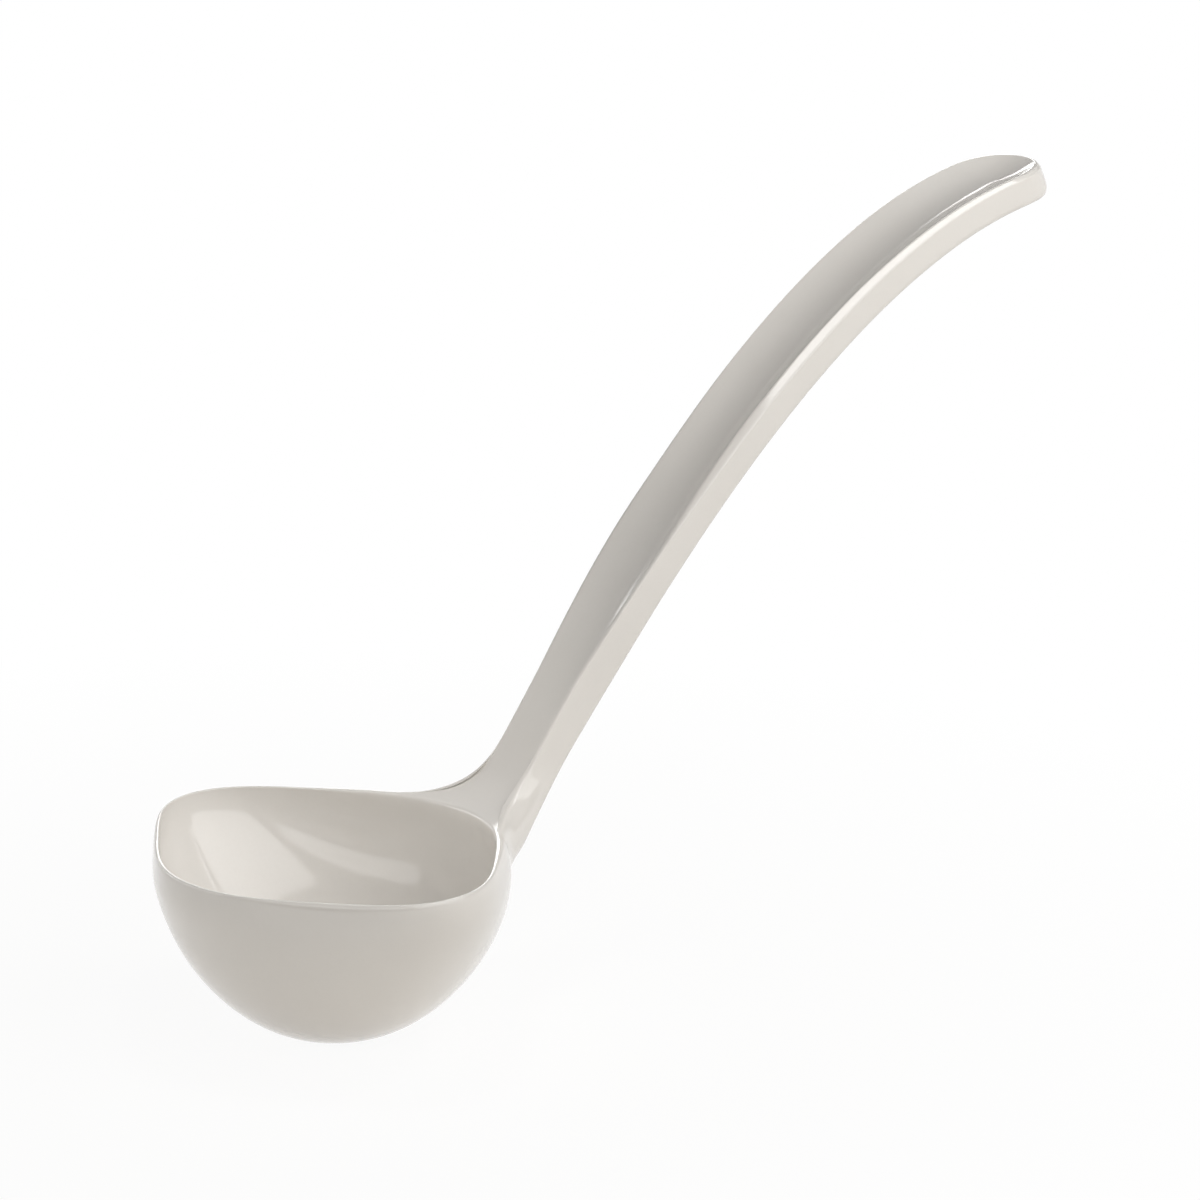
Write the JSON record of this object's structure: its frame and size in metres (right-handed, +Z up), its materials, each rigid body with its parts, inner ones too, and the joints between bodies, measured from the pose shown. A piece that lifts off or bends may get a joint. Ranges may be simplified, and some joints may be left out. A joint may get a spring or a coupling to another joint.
{
  "type": "melamine ladle",
  "caption": "Moulded soup ladle: round bowl with a pouring lip at each side, and a long curved handle with a trough along its top.",
  "frame": {"origin": "centre of the flat foot under the bowl", "axes": "+Z up with the rim level, +X from the bowl towards the handle, XZ is the mirror plane"},
  "size_m": [0.2691, 0.1006, 0.1769],
  "materials": {
    "melamine": "gloss, warm off-white moulded melamine"
  },
  "bodies": {
    "root": {"bowl": "melamine", "handle": "melamine"}
  },
  "joints": []
}
